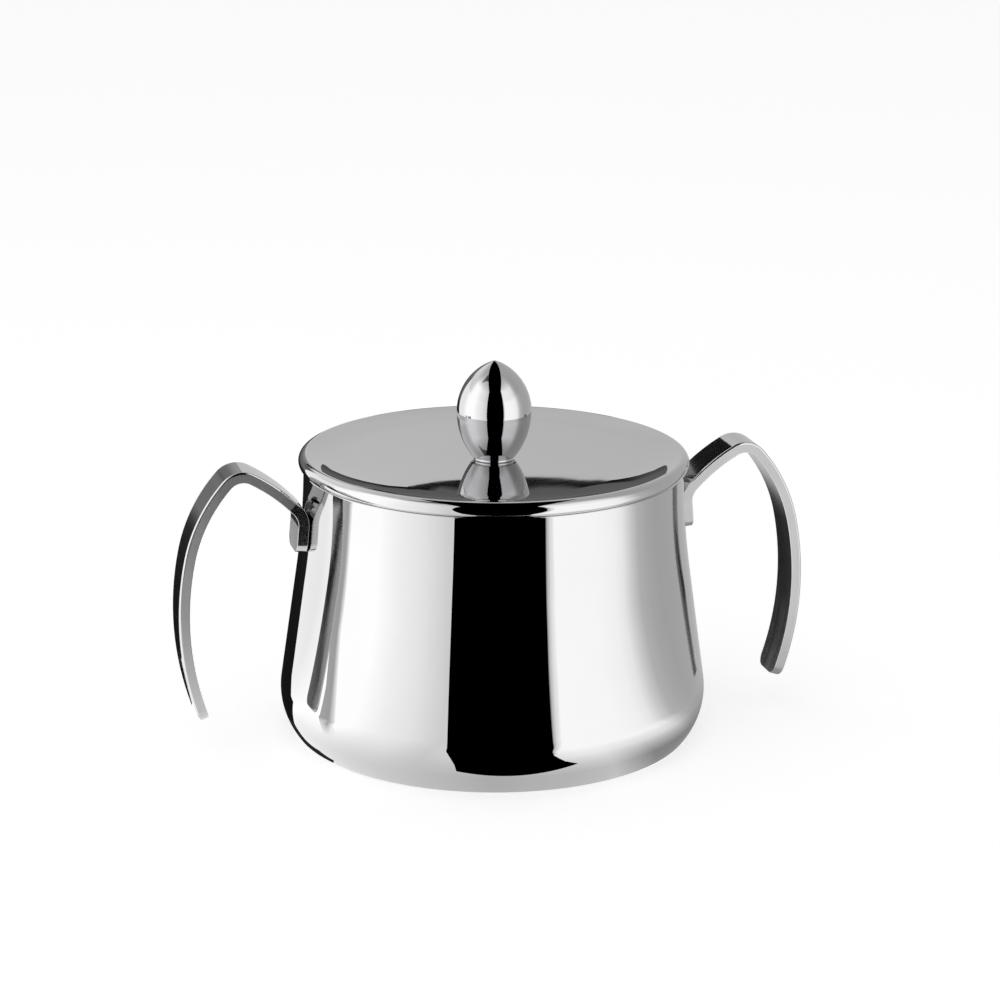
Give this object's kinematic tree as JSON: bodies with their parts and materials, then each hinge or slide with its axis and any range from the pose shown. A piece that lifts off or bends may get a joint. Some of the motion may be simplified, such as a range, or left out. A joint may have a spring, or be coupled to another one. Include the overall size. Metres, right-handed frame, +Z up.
{
  "type": "sugar bowl",
  "caption": "Covered bell-shaped sugar bowl of polished steel sheet with open strap handles at its sides and a lift-off lid with rolled edge, locating ring and egg-shaped knob.",
  "frame": {"origin": "centre of the foot, on the table", "axes": "+Z up along the bowl's axis, handles along X with the left handle at -X, +Y away from the front"},
  "size_m": [0.135, 0.09, 0.0798],
  "materials": {
    "polished_bowl": "drawn stainless sheet, mirror polished outside and inside",
    "polished_strap": "bent stainless strip, mirror polished with softened edges",
    "polished_lid": "pressed stainless sheet, mirror polished",
    "polished_knob": "turned stainless bar, mirror polished",
    "bright_pressing": "bright-rolled stainless sheet, pressed and left unpolished",
    "plain_fastener": "plain stainless fastener"
  },
  "bodies": {
    "bowl": {"bowl_body": "polished_bowl", "left_handle": "polished_strap", "right_handle": "polished_strap"},
    "lid": {"lid_cover": "polished_lid", "lid_ring": "bright_pressing", "knob": "polished_knob", "knob_washer": "plain_fastener", "knob_screw": "plain_fastener"}
  },
  "joints": [
    {"name": "lid_lift", "type": "slide", "parent": "bowl", "child": "lid", "axis": [0, 0, 1], "range_m": [0, 0.06]}
  ]
}
